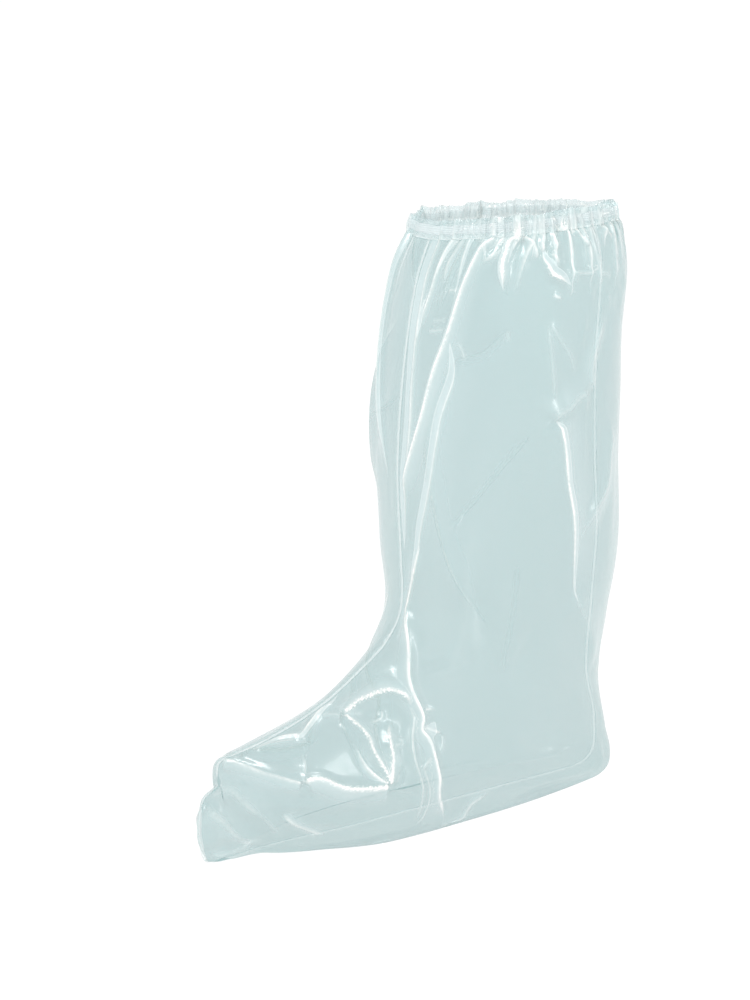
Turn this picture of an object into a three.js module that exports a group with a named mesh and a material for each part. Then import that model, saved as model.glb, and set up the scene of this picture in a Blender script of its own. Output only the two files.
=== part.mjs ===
// A disposable boot cover of thin plastic film, kept in the form that it has over a tall boot.
// Millimetres, +Z up. The origin is the centre of the leg opening, the toe points along -Y,
// and +X is the outer side of the wearer's left leg.
import * as THREE from "three";

const HEIGHT = 465; // from the sole to the opening
const WALL = 1.2; // film, thickened from its real 0.07
const GAP = 0.3; // between neighbouring pieces
const BEAD_HALF = 1.1; // half the width of the edge weld
const BEAD_PROUD = 1.2; // how far the weld stands out of the film
const PANEL_EDGE = BEAD_HALF + GAP; // where a panel starts, measured from the middle plane
const CORNER = 0.8; // share of the way round a panel at which the sole's edge runs
const SOLE_BLEND = 24; // half width of the sole from which that edge is fully turned
const RIM_LIFT = 7; // how far the opening rises on the outer side
const RIM_LIFT_END = 1.5; // station at which that rise has gone
const AROUND = 30; // faces from the front weld to the back weld
// Faces between two stations: the long leg and the gathers below the cuff need the most.
const ROW_STEPS = [
  { upTo: 1, steps: 4 },
  { upTo: 3, steps: 3 },
  { upTo: 17, steps: 2 },
];

// Each row is a section from the front or instep edge to the back or sole edge, with its
// heights measured from the sole: the greatest half widths of the outer and inner panel, the
// half width of the flat sole, and how fast the section narrows towards its two edges.
const SECTION_COLUMNS = [
  "frontY", "frontZ", "backY", "backZ", "outer", "inner", "sole", "frontPinch", "backPinch",
];
const SECTIONS = [
  [-80, 450, 84, 455, 70, 65, 0, 0.9, 0.9], // under the cuff
  [-93, 415, 94, 418, 75, 74, 0, 0.9, 0.9],
  [-104, 350, 93, 350, 78, 87, 0, 0.95, 0.95],
  [-109, 280, 92, 275, 80, 91, 0, 1, 1], // calf
  [-106, 215, 96, 205, 76, 86, 0, 1, 1],
  [-105, 170, 92, 145, 67, 75, 0, 1, 1.05], // ankle
  [-120, 143, 93, 85, 59, 62, 0, 1.05, 1.05],
  [-144, 125, 97, 38, 54, 54, 8, 1.1, 1.05], // heel
  [-170, 109, 87, 3, 51, 51, 24, 1.15, 1],
  [-194, 98, 8, 0, 52, 52, 38, 1.2, 1], // instep
  [-218, 90, -70, 0, 54, 51, 43, 1.2, 1],
  [-241, 84, -150, 0, 51, 46, 42, 1.2, 1], // toe box
  [-258, 81, -205, 2, 37, 33, 27, 1.2, 1],
  [-271, 78, -242, 2, 20, 18, 11, 1.1, 1],
  [-277, 69, -257, 1, 12, 11, 4, 1, 1], // flat corner in front of the boot
  [-271.5, 59, -268, 1, 7, 7, 2, 1, 1], // its notch
  [-284, 52, -277, 1, 4, 4, 1, 1, 1],
  [-293, 34, -286, 2, 2, 2, 1, 1, 1],
];
const LAST = SECTIONS.length - 1;

// Each fold is a sharp ridge (or, with a negative rise, a crease) along stops of [station,
// share of the way round the panel].
const OUTER_FOLDS = [
  { rise: 5, width: 14, stops: [[0, 0.08], [1.5, 0.07], [3.2, 0.06], [4.2, 0.06]] },
  { rise: 6, width: 16, stops: [[0, 0.21], [1, 0.18], [2, 0.125], [3, 0.08]] },
  { rise: 5, width: 18, stops: [[2.2, 0.17], [3.4, 0.15], [4.9, 0.08]] },
  { rise: 6, width: 17, stops: [[4.9, 0.07], [6.5, 0.155], [7.1, 0.2], [8.6, 0.31], [9.5, 0.43]] },
  { rise: 6, width: 14, stops: [[0, 0.3], [0.5, 0.285], [1, 0.31]] },
  { rise: 5, width: 15, stops: [[0, 0.38], [0.7, 0.395], [1, 0.43], [0.9, 0.48]] },
  { rise: -4, width: 14, stops: [[0, 0.45], [0.8, 0.46]] },
  { rise: 6, width: 14, stops: [[0, 0.55], [0.7, 0.56], [1.2, 0.6]] },
  { rise: 7, width: 26, stops: [[2.45, 0.465], [3.1, 0.483], [4, 0.51], [4.75, 0.555], [5.6, 0.68]] },
  { rise: 5, width: 22, stops: [[2.45, 0.465], [2.3, 0.56], [2.2, 0.64]] },
  { rise: 5, width: 20, stops: [[2.7, 0.75], [3.4, 0.61], [3.8, 0.53]] },
  { rise: 5, width: 16, stops: [[12.6, 0.06], [11.95, 0.17], [11.4, 0.27]] },
  { rise: 6, width: 15, stops: [[11.4, 0.27], [10.9, 0.3], [10.5, 0.37], [10.1, 0.37]] },
  { rise: 5, width: 15, stops: [[10.1, 0.37], [8.95, 0.15]] },
  { rise: 5, width: 14, stops: [[10.1, 0.37], [8.35, 0.2]] },
  { rise: 5, width: 15, stops: [[8.8, 0.13], [8, 0.11], [7.5, 0.15], [7.6, 0.2], [8.45, 0.26]] },
  { rise: 5, width: 15, stops: [[8.45, 0.26], [10.1, 0.48]] },
  { rise: 4, width: 12, stops: [[16, 0.12], [15.1, 0.4], [14, 0.6]] },
];
const INNER_FOLDS = [
  { rise: 6, width: 16, stops: [[0, 0.16], [1.4, 0.15], [2.4, 0.1]] },
  { rise: 7, width: 26, stops: [[1.6, 0.3], [2.6, 0.27], [3.6, 0.3]] },
  { rise: 6, width: 15, stops: [[0, 0.34], [0.8, 0.36], [1.3, 0.4]] },
  { rise: 6, width: 14, stops: [[0, 0.58], [0.6, 0.56], [1.1, 0.52]] },
  { rise: 7, width: 24, stops: [[2.2, 0.55], [3.4, 0.5], [4.9, 0.55], [5.8, 0.66]] },
  { rise: 6, width: 18, stops: [[4.6, 0.1], [6.6, 0.2], [8.4, 0.34], [9.8, 0.55]] },
  { rise: 6, width: 17, stops: [[12.4, 0.07], [11.2, 0.28], [10, 0.36], [8.9, 0.22]] },
];
const FOLD_STEPS = 4; // straight pieces between two stops
const FOLD_SHARPNESS = 1.4; // 1 is a roof with flat sides, more hollows the sides
const FREE_EDGE = 0.05; // share of the panel next to a weld in which folds fade away

// The elastic gathers the film into small pleats that die out below the cuff.
const GATHERS = [
  { waves: 6, swing: 0.5, depth: 2.2 },
  { waves: 10, swing: 0.3, depth: 1.4 },
];
const GATHER_DEEPEST = GATHERS.reduce((total, { depth }) => total + depth, 0);
const GATHER_END = 1.3; // station where the pleats have died out
const GATHER_CALM_FRONT = 0.3; // share of the panel over which the film lies flatter in front
const FRONT_GATHER = 0.3; // how deep the pleats are next to the front weld

const HEM_COLUMNS = 40; // faces round each half of the cuff
const HEM_FRILL = 1.5; // how much deeper the pleats are at the top of the cuff
const HEM_TOP = 14.6;
const HEM_CREST = 1.2; // how far the top edge goes up and down with the pleats
// The folded-over hem in section: [outwards, up] from the top edge of the film.
const HEM_SECTION = [
  [0, 0.5], [0.9, 8], [0.2, HEM_TOP], [-3.6, HEM_TOP], [-4.6, 10], [-4.6, 2],
  [-3.6, 2], [-3.6, 9.6], [-3, 13.4], [-0.8, 13.4], [-0.1, 8], [-1, 0.5],
];
const ELASTIC_SECTION = [[-1.5, 4], [-1.5, 11], [-2.7, 11], [-2.7, 4]];

const FILM = { color: 0xc9dedd, roughness: 0.22, transparent: true, opacity: 0.55 };
const WELD = { color: 0xdce8e8, roughness: 0.35, transparent: true, opacity: 0.8 };
const HEM_FILM = { color: 0xdfe9ea, roughness: 0.28, transparent: true, opacity: 0.7 };
const RUBBER = { color: 0xe9ecea, roughness: 0.6 };

const smooth = (value) => {
  const part = THREE.MathUtils.clamp(value, 0, 1);
  return part * part * (3 - 2 * part);
};

// The section at a station between two rows, on a curve through all the rows.
function sectionAt(station) {
  const row = Math.min(Math.floor(station), LAST - 1);
  const part = station - row;
  const section = {};
  SECTION_COLUMNS.forEach((column, index) => {
    const [before, here, next, after] = [-1, 0, 1, 2].map(
      (step) => SECTIONS[THREE.MathUtils.clamp(row + step, 0, LAST)][index],
    );
    const bend = (2 * before - 5 * here + 4 * next - after) * part ** 2;
    const twist = (3 * here - before - 3 * next + after) * part ** 3;
    section[column] = 0.5 * (2 * here + (next - before) * part + bend + twist);
  });
  section.backZ = Math.max(section.backZ, 0);
  section.sole = Math.max(section.sole, 0);
  return section;
}

// A point of the unfolded form. side is 1 for the outer panel and -1 for the inner one, and
// around runs from 0 at the front weld to 1 at the back weld or the middle of the sole.
function formPoint(station, around, side) {
  const section = sectionAt(station);
  const flat = smooth(section.sole / SOLE_BLEND);
  const cornerTurn = CORNER + (1 - CORNER) * flat;
  const under = THREE.MathUtils.clamp((around - CORNER) / (1 - CORNER), 0, 1);
  const turn = around < CORNER
    ? (around / CORNER) * cornerTurn
    : cornerTurn + under * (1 - cornerTurn);
  const across = (1 - Math.cos(Math.PI * turn)) / 2;
  const pinch = THREE.MathUtils.lerp(section.frontPinch, section.backPinch, across);
  const bulge = Math.max(Math.sin(Math.PI * turn), 0) ** pinch;
  const half = side > 0 ? section.outer : section.inner;
  const soleShare = THREE.MathUtils.clamp(2 * turn - 1, 0, 1) * (1 - bulge) * (1 - under);
  const x = half * bulge * (1 - under * flat) + section.sole * soleShare;
  const y = THREE.MathUtils.lerp(section.frontY, section.backY, across);
  const z = THREE.MathUtils.lerp(section.frontZ, section.backZ, across);
  const rise = side > 0 ? RIM_LIFT * Math.max(1 - station / RIM_LIFT_END, 0) ** 2 : 0;
  const lift = rise * Math.sin(Math.PI * turn ** 1.4);
  return new THREE.Vector3(side * (PANEL_EDGE + x), y, z + lift - HEIGHT);
}

// The outward direction of the unfolded form.
function formNormal(station, around, side) {
  const step = 0.01;
  const along = formPoint(Math.min(station + step, LAST), around, side)
    .sub(formPoint(Math.max(station - step, 0), around, side));
  const across = formPoint(station, Math.min(around + step, 1), side)
    .sub(formPoint(station, Math.max(around - step, 0), side));
  return along.cross(across).multiplyScalar(side).normalize();
}

// A fold's stops joined by short straight pieces that lie on the form.
function foldPath(fold, side) {
  const path = [];
  fold.stops.forEach(([station, around], index) => {
    if (index === 0) {
      path.push(formPoint(station, around, side));
      return;
    }
    const [fromStation, fromAround] = fold.stops[index - 1];
    for (let step = 1; step <= FOLD_STEPS; step += 1) {
      const part = step / FOLD_STEPS;
      const at = THREE.MathUtils.lerp(fromStation, station, part);
      path.push(formPoint(at, THREE.MathUtils.lerp(fromAround, around, part), side));
    }
  });
  return path;
}

function distanceToPath(point, path) {
  const nearest = new THREE.Vector3();
  let least = Infinity;
  for (let index = 1; index < path.length; index += 1) {
    new THREE.Line3(path[index - 1], path[index]).closestPointToPoint(point, true, nearest);
    least = Math.min(least, nearest.distanceTo(point));
  }
  return least;
}

// How far the folds push the film out at a point of the form: where some meet, the highest
// ridge and the deepest crease count.
function foldRise(point, folds) {
  const rises = folds.map(({ rise, width, path }) => {
    const closeness = Math.max(1 - distanceToPath(point, path) / width, 0);
    return rise * closeness ** FOLD_SHARPNESS;
  });
  return Math.max(...rises, 0) + Math.min(...rises, 0);
}

// How far the elastic's small pleats push the film in and out.
function gatherRise(station, around, side) {
  const calm = THREE.MathUtils.lerp(FRONT_GATHER, 1, smooth(around / GATHER_CALM_FRONT));
  const strength = (1 - smooth(station / GATHER_END)) * calm;
  return strength * GATHERS.reduce((total, { waves, swing, depth }) => {
    const phase = waves * around + swing * Math.sin(3 * Math.PI * around) + 0.25 * side;
    return total + depth * Math.sin(2 * Math.PI * phase);
  }, 0);
}

// Where folds may move the film: nowhere next to a weld, nor under the sole.
function freedom(station, around) {
  const nearWeld = smooth(around / FREE_EDGE) * smooth((1 - around) / FREE_EDGE);
  const onSole = smooth(sectionAt(station).sole / SOLE_BLEND);
  return nearWeld * (1 - onSole * smooth((around - CORNER + 0.1) / 0.1));
}

function filmPoint(station, around, side, folds) {
  const point = formPoint(station, around, side);
  const rise = foldRise(point, folds) + gatherRise(station, around, side);
  point.addScaledVector(formNormal(station, around, side), rise * freedom(station, around));
  point.x = side * Math.max(side * point.x, PANEL_EDGE);
  point.z = Math.max(point.z, -HEIGHT);
  return point;
}

const stations = [0];
for (const { upTo, steps } of ROW_STEPS) {
  const from = stations.at(-1);
  for (let step = 1; step <= (upTo - from) * steps; step += 1) {
    stations.push(from + step / steps);
  }
}

function geometryOf(corners, faces) {
  const places = corners.flatMap((point) => point.toArray());
  const geometry = new THREE.BufferGeometry();
  geometry.setAttribute("position", new THREE.Float32BufferAttribute(places, 3));
  geometry.setIndex(faces);
  geometry.computeVertexNormals();
  return geometry;
}

// A closed solid from rings of equal length: faces join neighbouring rings, and the two open
// ends are filled with fans unless the rings come back to the first one.
function solidFromRings(rings, comesBack) {
  const count = rings[0].length;
  const corners = rings.flat();
  const faces = [];
  const joins = comesBack ? rings.length : rings.length - 1;
  for (let ring = 0; ring < joins; ring += 1) {
    const here = ring * count;
    const there = ((ring + 1) % rings.length) * count;
    for (let step = 0; step < count; step += 1) {
      const next = (step + 1) % count;
      faces.push(here + step, there + next, there + step);
      faces.push(here + step, here + next, there + next);
    }
  }
  if (!comesBack) {
    const last = (rings.length - 1) * count;
    for (let step = 1; step < count - 1; step += 1) {
      faces.push(0, step + 1, step);
      faces.push(last, last + step, last + step + 1);
    }
  }
  return geometryOf(corners, faces);
}

// The direction out of a grid of points at one of them.
function gridNormal(grid, row, column, side) {
  const last = grid.length - 1;
  const end = grid[0].length - 1;
  const along = grid[Math.min(row + 1, last)][column].clone()
    .sub(grid[Math.max(row - 1, 0)][column]);
  const across = grid[row][Math.min(column + 1, end)].clone()
    .sub(grid[row][Math.max(column - 1, 0)]);
  return along.cross(across).multiplyScalar(side).normalize();
}

// Film as a wall: its outer points, and the same points moved in by the wall's thickness.
function panelGeometry(side, foldTable) {
  const folds = foldTable.map((fold) => ({ ...fold, path: foldPath(fold, side) }));
  const columns = Array.from({ length: AROUND + 1 }, (_, column) => column / AROUND);
  const outside = stations.map((station) =>
    columns.map((around) => filmPoint(station, around, side, folds)));
  const inside = outside.map((row, rowIndex) => row.map((point, column) => {
    const moved = point.clone()
      .addScaledVector(gridNormal(outside, rowIndex, column, side), -WALL);
    moved.x = side * Math.max(side * moved.x, PANEL_EDGE);
    return moved;
  }));
  return wallGeometry(outside, inside, side);
}

// A closed solid between two grids of the same size.
function wallGeometry(outside, inside, side) {
  const rows = outside.length;
  const columns = outside[0].length;
  const corners = [outside, inside].flat(2);
  const faces = [];
  const outer = (row, column) => row * columns + column;
  const inner = (row, column) => rows * columns + row * columns + column;
  const quad = (a, b, c, d) => {
    const turned = side > 0 ? [a, c, b, a, d, c] : [a, b, c, a, c, d];
    faces.push(...turned);
  };
  for (let row = 0; row < rows - 1; row += 1) {
    for (let column = 0; column < columns - 1; column += 1) {
      const below = row + 1;
      const next = column + 1;
      quad(outer(row, column), outer(row, next), outer(below, next), outer(below, column));
      quad(inner(row, column), inner(below, column), inner(below, next), inner(row, next));
    }
    const end = columns - 1;
    quad(outer(row, 0), outer(row + 1, 0), inner(row + 1, 0), inner(row, 0));
    quad(outer(row, end), inner(row, end), inner(row + 1, end), outer(row + 1, end));
  }
  for (let column = 0; column < columns - 1; column += 1) {
    const end = rows - 1;
    quad(outer(0, column), inner(0, column), inner(0, column + 1), outer(0, column + 1));
    quad(outer(end, column), outer(end, column + 1), inner(end, column + 1), inner(end, column));
  }
  return geometryOf(corners, faces);
}

// The weld follows the cover's outline: down the front, over the instep, down the toe, back
// along the sole and up the heel and calf.
function weldGeometry() {
  const seam = (station, around) => formPoint(station, around, 1).setX(0);
  const path = stations.map((station) => seam(station, 0));
  for (const around of [0.3, 0.5, 0.7]) path.push(seam(LAST, around));
  path.push(...stations.map((station) => seam(station, 1)).reverse());
  const rings = path.map((point, index) => {
    const before = path[Math.max(index - 1, 0)];
    const after = path[Math.min(index + 1, path.length - 1)];
    const along = after.clone().sub(before).normalize();
    const out = new THREE.Vector3(0, along.z, -along.y);
    const proud = BEAD_PROUD * smooth((point.z + HEIGHT) / (3 * BEAD_PROUD));
    return [[-1, proud], [-1, -WALL], [1, -WALL], [1, proud]].map(([across, reach]) =>
      point.clone().addScaledVector(out, reach).setX(across * BEAD_HALF));
  });
  return solidFromRings(rings, false);
}

// A ring that follows the gathered top edge of the film, with the given section.
function cuffGeometry(section) {
  const columns = Array.from({ length: HEM_COLUMNS }, (_, column) => (column + 0.5) / HEM_COLUMNS);
  const ring = (around, side) => {
    const facing = formNormal(0, around, side);
    const pleat = gatherRise(0, around, side) * freedom(0, around);
    const edge = formPoint(0, around, side).addScaledVector(facing, pleat);
    const out = facing.setZ(0).normalize();
    return section.map(([outwards, up]) => {
      const height = up / HEM_TOP;
      const crest = (HEM_CREST * pleat * height) / GATHER_DEEPEST;
      return edge.clone()
        .addScaledVector(out, outwards + pleat * (HEM_FRILL - 1) * height)
        .add(new THREE.Vector3(0, 0, up + crest));
    });
  };
  const outerHalf = columns.map((around) => ring(around, 1));
  const innerHalf = columns.map((around) => ring(around, -1)).reverse();
  return solidFromRings([...outerHalf, ...innerHalf].reverse(), true);
}

function piece(name, geometry, finish) {
  const material = new THREE.MeshStandardMaterial({ metalness: 0, ...finish });
  const mesh = new THREE.Mesh(geometry, material);
  mesh.name = name;
  return mesh;
}

const bootCover = new THREE.Group();
bootCover.add(piece("outer_panel", panelGeometry(1, OUTER_FOLDS), FILM));
bootCover.add(piece("inner_panel", panelGeometry(-1, INNER_FOLDS), FILM));
bootCover.add(piece("edge_weld", weldGeometry(), WELD));
bootCover.add(piece("cuff_hem", cuffGeometry(HEM_SECTION), HEM_FILM));
bootCover.add(piece("elastic_band", cuffGeometry(ELASTIC_SECTION), RUBBER));

export default bootCover;
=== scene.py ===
# %% [markdown]
# # A disposable boot cover, dressed in Blender
#
# The real thing is two sheets of thin polythene film, laid on each other, welded round their
# outline and pulled over a tall boot. An elastic inside a folded hem holds it up. The frame
# brings the same cover as plain solids with walls about 1 mm thick. Here each piece is made
# again as the real one is: film with no visible thickness, its long pleats, the small gathers
# below the elastic and the sharp facets over the toe, then the weld and the ruffled hem.

# %% Load the frame
import math
from collections import namedtuple

import bpy
import numpy as np
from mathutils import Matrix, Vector


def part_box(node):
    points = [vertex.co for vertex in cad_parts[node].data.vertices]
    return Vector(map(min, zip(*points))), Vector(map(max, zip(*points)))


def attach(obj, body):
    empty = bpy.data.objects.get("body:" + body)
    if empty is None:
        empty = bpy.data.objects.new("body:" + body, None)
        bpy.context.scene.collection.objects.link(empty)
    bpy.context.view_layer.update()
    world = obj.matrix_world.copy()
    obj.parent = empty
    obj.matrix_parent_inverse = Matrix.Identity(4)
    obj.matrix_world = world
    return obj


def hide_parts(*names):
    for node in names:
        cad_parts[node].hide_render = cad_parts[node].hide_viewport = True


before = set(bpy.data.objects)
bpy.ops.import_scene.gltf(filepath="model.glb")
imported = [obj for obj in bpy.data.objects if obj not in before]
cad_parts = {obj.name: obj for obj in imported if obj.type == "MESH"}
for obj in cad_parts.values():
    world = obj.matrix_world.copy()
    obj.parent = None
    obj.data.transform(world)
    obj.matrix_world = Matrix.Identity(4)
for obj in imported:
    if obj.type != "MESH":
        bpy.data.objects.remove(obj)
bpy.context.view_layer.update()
MM = 0.001
HEIGHT = -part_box("outer_panel")[0].z  # from the sole up to the origin
print("nodes:", sorted(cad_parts), "height over the sole:", round(HEIGHT, 4))

# %% [markdown]
# ## Camera
#
# A long lens from the front and the outer side, a little above the cuff. Two angles and a
# distance from the point that it aims at place it, which is easier to adjust than a position. It
# is made first, because the lamps are placed round the same point.

# %% Camera
CAMERA_AZIMUTH = math.radians(54)
CAMERA_ELEVATION = math.radians(13)
CAMERA_DISTANCE = 1.65
LENS_MM = 77.2
SENSOR_MM = 36
AIM = Vector((-0.0244, -0.1122, -0.2162))


def direction(azimuth, elevation):
    """A unit vector from the aim outwards: azimuth 0 is in front of the toe, 90 the outer side."""
    return Vector((
        math.sin(azimuth) * math.cos(elevation),
        -math.cos(azimuth) * math.cos(elevation),
        math.sin(elevation),
    ))


camera = bpy.data.objects.new("camera", bpy.data.cameras.new("camera"))
bpy.context.scene.collection.objects.link(camera)
bpy.context.scene.camera = camera
camera.data.lens = LENS_MM
camera.data.sensor_width = SENSOR_MM
camera.location = AIM + direction(CAMERA_AZIMUTH, CAMERA_ELEVATION) * CAMERA_DISTANCE
camera.rotation_mode = "QUATERNION"
camera.rotation_quaternion = (AIM - camera.location).to_track_quat("-Z", "Y")
print("camera at", tuple(round(v, 3) for v in camera.location))

# %% [markdown]
# ## The form
#
# The worn cover is a tube that turns into a foot. It could be sculpted, but a table of sections
# is easier to correct, one row at a time. A row says where the section starts on the front or
# instep edge, where it ends on the back or sole edge, how wide it is to either side, how much of
# it lies flat under the foot and how pointed its ends are. A smooth curve through the rows gives
# every section between them, so a place on the form is a station, which is a row number with a
# fraction, and a share of the way round.
#
# The solids were made from nearly the same table, so the film lies where they are. Only the end
# of the loose corner is rounder here, and the leg is a little tighter behind the calf and at the
# ankle.

# %% Section table
SECTION_COLUMNS = (
    "front_y", "front_z", "back_y", "back_z", "outer", "inner", "sole",
    "front_pinch", "back_pinch",
)
SECTIONS_MM = np.array([
    (-80, 450, 84, 455, 70, 65, 0, 0.9, 0.9),  # under the cuff
    (-93, 415, 93, 418, 75, 74, 0, 0.9, 0.9),
    (-104, 350, 90, 350, 77, 87, 0, 0.95, 0.95),
    (-109, 280, 90.5, 275, 80, 91, 0, 1, 1),  # calf
    (-106, 215, 95, 205, 75, 86, 0, 1, 1),
    (-105, 170, 91, 145, 66, 75, 0, 1, 1.05),  # ankle
    (-120, 143, 87, 85, 57, 62, 0, 1.05, 1.05),
    (-144, 125, 97, 38, 54, 54, 8, 1.1, 1.05),  # heel
    (-170, 109, 87, 3, 51, 51, 24, 1.15, 1),
    (-194, 98, 8, 0, 52, 52, 38, 1.2, 1),  # instep
    (-218, 90, -70, 0, 54, 51, 43, 1.2, 1),
    (-241, 84, -150, 0, 51, 46, 42, 1.2, 1),  # toe box
    (-258, 81, -205, 2, 37, 33, 27, 1.2, 1),
    (-271, 78, -242, 2, 20, 18, 11, 1.1, 1),
    (-274, 70, -257, 1, 12, 11, 4, 1, 1),  # flat corner in front of the boot
    (-272.5, 60, -268, 1, 7, 7, 2, 1, 1),  # its notch
    (-284.5, 53.5, -277, 1, 4, 4, 1, 1, 1),
    (-288, 46, -284, 3, 2, 2, 1, 1, 1),
])
LAST = len(SECTIONS_MM) - 1
print("sections:", len(SECTIONS_MM), "and the last station:", LAST)

# %% Smooth curve through the sections
def smooth(value):
    """0 below 0, 1 above 1, and an S-curve between."""
    part = np.clip(value, 0, 1)
    return part * part * (3 - 2 * part)


def curve(rows, at):
    """Rows of numbers joined by a smooth curve, read off at any places along it."""
    last = len(rows) - 1
    row = np.clip(np.floor(at).astype(int), 0, last - 1)
    part = (at - row)[..., None]
    before, here, after, later = (
        rows[np.clip(row + step, 0, last)] for step in (-1, 0, 1, 2)
    )
    bend = (2 * before - 5 * here + 4 * after - later) * part ** 2
    twist = (3 * here - before - 3 * after + later) * part ** 3
    return 0.5 * (2 * here + (after - before) * part + bend + twist)


def sections_at(station):
    """One section for each station, as a column of numbers under each name."""
    rows = curve(SECTIONS_MM, station)
    return {name: rows[..., index] for index, name in enumerate(SECTION_COLUMNS)}


print("outer half width at station 2.5 in mm:", sections_at(np.array(2.5))["outer"].round(1))

# %% Points of the form
TIP_BOW_MM = 4  # how far the end of the loose corner bows forwards
CORNER = 0.8  # the share of the way round where the film turns under the foot
SOLE_BLEND_MM = 24  # where the sole is this wide, the film is fully turned under the foot
RIM_LIFT_MM = 7  # the outer side of the rim stands this much higher
RIM_LIFT_END = 1.5  # the station where that rise has died out
RIM_LIFT_LEAN = 1.4  # over 1, so that its top lies towards the back
WELD_HALF_MM = 1.4  # from the middle plane to the edge of a panel
SLOPE_STEP = 0.01  # in stations and in shares of the way round


def form_points(station, around, side):
    """Points of the unfolded form in metres. around is 0 at the front weld, 1 at the back."""
    station, around = np.broadcast_arrays(
        np.asarray(station, float), np.asarray(around, float)
    )
    cut = sections_at(station)
    sole = np.maximum(cut["sole"], 0)
    flat = smooth(sole / SOLE_BLEND_MM)
    corner_turn = CORNER + (1 - CORNER) * flat
    under = np.clip((around - CORNER) / (1 - CORNER), 0, 1)
    turn = np.where(
        around < CORNER,
        around / CORNER * corner_turn,
        corner_turn + under * (1 - corner_turn),
    )
    across = (1 - np.cos(np.pi * turn)) / 2
    pinch = cut["front_pinch"] + (cut["back_pinch"] - cut["front_pinch"]) * across
    bulge = np.maximum(np.sin(np.pi * turn), 0) ** pinch
    half = cut["outer"] if side > 0 else cut["inner"]
    sole_share = np.clip(2 * turn - 1, 0, 1) * (1 - bulge) * (1 - under)
    x = np.maximum(half, 0) * bulge * (1 - under * flat) + sole * sole_share
    y = cut["front_y"] + (cut["back_y"] - cut["front_y"]) * across
    y = y - TIP_BOW_MM * smooth(station - LAST + 1) * np.sin(np.pi * across)
    back_z = np.maximum(cut["back_z"], 0)
    z = cut["front_z"] + (back_z - cut["front_z"]) * across
    if side > 0:
        lift = RIM_LIFT_MM * np.maximum(1 - station / RIM_LIFT_END, 0) ** 2
        z = z + lift * np.sin(np.pi * turn ** RIM_LIFT_LEAN)
    places = np.stack([side * (WELD_HALF_MM + x), y, z], axis=-1) * MM
    places[..., 2] -= HEIGHT
    return places


def unit(vectors):
    """The same directions with a length of 1."""
    return vectors / np.maximum(np.linalg.norm(vectors, axis=-1, keepdims=True), 1e-12)


def form_normals(station, around, side):
    """The outward direction of the form, from its slopes both ways."""
    along = (
        form_points(np.minimum(station + SLOPE_STEP, LAST), around, side)
        - form_points(np.maximum(station - SLOPE_STEP, 0), around, side)
    )
    across = (
        form_points(station, np.minimum(around + SLOPE_STEP, 1), side)
        - form_points(station, np.maximum(around - SLOPE_STEP, 0), side)
    )
    return unit(np.cross(along, across) * side)


print("leg half way down:", form_points(3.0, 0.5, 1).round(4))

# %% [markdown]
# ## Grid
#
# Thin film shows every crease as a fine line, so each panel is a close grid. Even steps from
# station to station would waste it, because the stations are far apart down the leg and close
# over the toe. So the rows are spread by the length that the form really has between two of
# them, with more rows where the film is worked most: below the elastic and over the foot.

# %% Rows and columns
ROWS = 366
COLUMNS = 268
CLOSER_ROWS = [(0, 1.2, 1.5), (6.5, 12.5, 1.35)]  # stations from and to, how much closer
WAYS_DOWN = (0, 0.4, 0.8, 1)  # shares of the way round where the length is measured
STEPS_PER_SECTION = 100


def even_stations():
    """Stations whose rows lie evenly along the longest way down the form."""
    fine = np.linspace(0, LAST, LAST * STEPS_PER_SECTION + 1)
    ways = [form_points(fine, around, 1) for around in WAYS_DOWN]
    steps = np.max(
        [np.linalg.norm(np.diff(way, axis=0), axis=1) for way in ways], axis=0
    )
    for low, high, closer in CLOSER_ROWS:
        steps[(fine[1:] > low) & (fine[1:] <= high)] *= closer
    length = np.concatenate([[0], np.cumsum(steps)])
    return np.interp(np.linspace(0, length[-1], ROWS + 1), length, fine)


stations = even_stations()
columns = np.linspace(0, 1, COLUMNS + 1)
print("triangles in a panel:", 2 * ROWS * COLUMNS)

# %% [markdown]
# ## Folds
#
# A crease in film is a ridge with hollow sides, often steep on one side and long on the other.
# A deep one falls over, and the film lies double in a narrow strip beside it. A cloth simulation
# would make folds of its own, rounder ones and in other places, so the folds are drawn instead.
# A fold is a row of a table: the stops that its line passes through, how high it stands, how
# wide it is to its left and right, how white the film along it is (the whitening of stretched
# film and a painted highlight), how far the film laps, how round its crest is, and over which
# share of its length it starts and dies out. Left and right are those of someone who walks along
# the line on the outside of the film.
#
# The line of a crease is finer than the grid. So the points don't store how white they are but
# how far they are from the crease, less than 0 on one side and more than 0 on the other. That
# number can be blended across a face without a loss, and the material draws a sharp line
# where it passes 0. The edges of a doubled strip are drawn in the same way. On the gentle side
# of a crease, where the film turns away slowly, it gets a painted sheen: it is painted milkier
# and paler.

# %% A fold and its line
Fold = namedtuple("Fold", "stops rise left right white lap tip fade", defaults=(0, 0.7, (0.2, 0.3)))
PATH_STEPS = 8  # straight pieces between two stops


def path_of(fold, side):
    """The fold's line on the form, as short straight pieces."""
    stops = np.array(fold.stops, float)
    at = np.linspace(0, len(stops) - 1, (len(stops) - 1) * PATH_STEPS + 1)
    line = curve(stops, at)
    return form_points(np.clip(line[:, 0], 0, LAST), np.clip(line[:, 1], 0, 1), side)


print("a fold is described by:", ", ".join(Fold._fields))

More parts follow.
